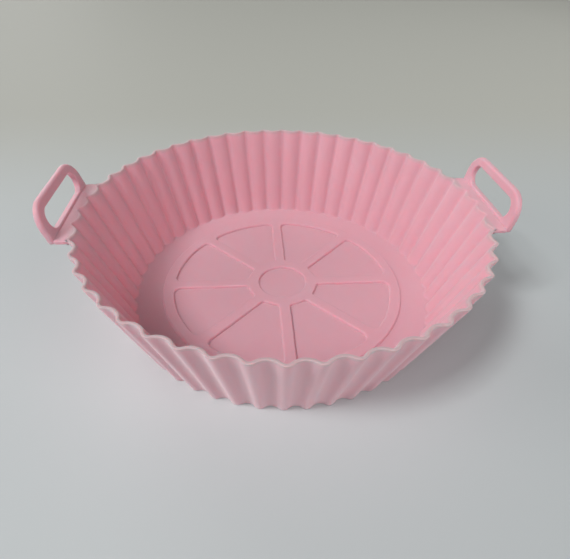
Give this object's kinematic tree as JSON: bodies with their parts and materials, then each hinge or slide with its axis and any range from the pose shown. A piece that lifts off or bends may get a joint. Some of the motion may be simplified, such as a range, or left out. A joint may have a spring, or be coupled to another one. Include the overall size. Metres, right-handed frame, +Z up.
{
  "type": "air fryer liner",
  "caption": "Round fluted silicone baking liner with a wheel-patterned floor and two loop handles on the rim.",
  "frame": {"origin": "centre of the flat underside", "axes": "+X runs through both handles, +Y along the bowl, +Z up out of the bowl"},
  "size_m": [0.2152, 0.1996, 0.0674],
  "materials": {
    "silicone": "matt soft silicone with a fine satin sheen"
  },
  "bodies": {
    "root": {"liner": "silicone"}
  },
  "joints": []
}
